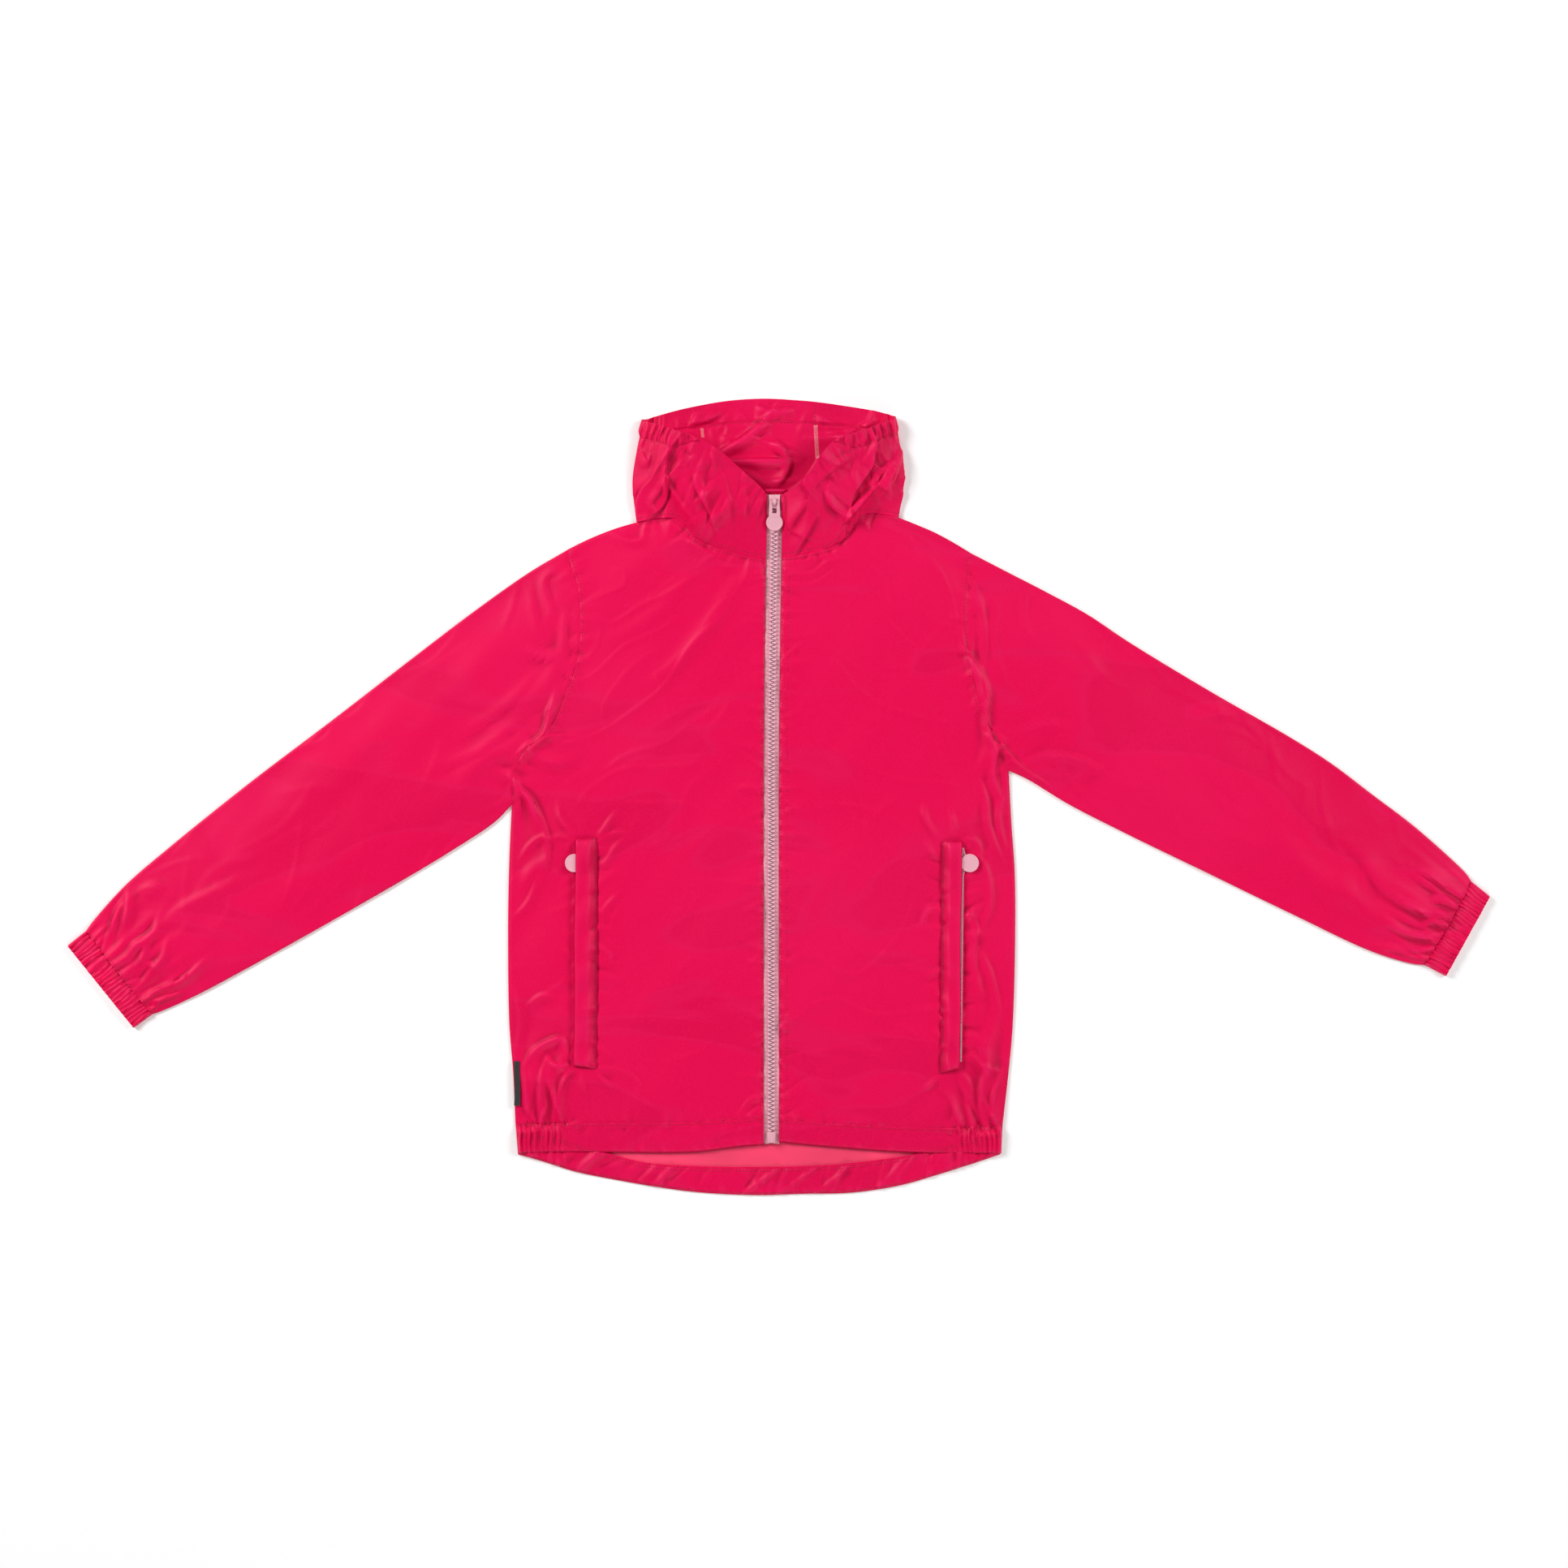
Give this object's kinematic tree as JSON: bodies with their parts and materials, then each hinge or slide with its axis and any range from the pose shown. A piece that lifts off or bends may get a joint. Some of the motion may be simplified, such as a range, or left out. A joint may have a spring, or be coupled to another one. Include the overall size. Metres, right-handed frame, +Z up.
{
  "type": "kids rain jacket",
  "caption": "Child's hooded rain jacket laid flat on its back, zipped up, sleeves spread, with elastic cuffs, hem and hood edge and upright zip pockets.",
  "frame": {"origin": "a point on the back panel's underside, 324 mm above the tail's lowest point and 6 mm to the wearer's left of the front zip's middle at that height", "axes": "+X towards the wearer's left sleeve, +Y from the hem to the hood, +Z up off the surface, out of the chest"},
  "size_m": [1.156, 0.6475, 0.0296],
  "materials": {
    "shell": "thin water-repellent woven polyester with a light satin sheen",
    "zip_tape": "matte woven zip tape in dusty pink",
    "zip_plastic": "satin moulded plastic in dusty pink",
    "label": "matte black woven tape, bare"
  },
  "bodies": {
    "jacket": {"front_right": "shell", "front_left": "shell", "back": "shell", "hem_front_right": "shell", "hem_front_left": "shell", "hem_back": "shell", "sleeve_right": "shell", "sleeve_left": "shell", "cuff_right": "shell", "cuff_left": "shell", "hood_side_right": "shell", "hood_centre": "shell", "hood_side_left": "shell", "hood_edge_right": "shell", "hood_edge_crown": "shell", "hood_edge_left": "shell", "chin_guard": "shell", "pocket_welt_right": "shell", "pocket_welt_left": "shell", "zip_tape_right": "zip_tape", "zip_tape_left": "zip_tape", "pocket_zip_right": "zip_tape", "pocket_zip_left": "zip_tape", "zip_chain": "zip_plastic", "zip_stop": "zip_plastic", "zip_slider": "zip_plastic", "pocket_pull_right": "zip_plastic", "pocket_pull_left": "zip_plastic", "side_label": "label"},
    "zip_pull": {"zip_pull": "zip_plastic"}
  },
  "joints": [
    {"name": "zip_pull_swing", "type": "hinge", "parent": "jacket", "child": "zip_pull", "pos_m": [-0.0034, 0.23878, 0.0146], "axis": [-1, 0, 0], "range_deg": [0, 150]}
  ]
}
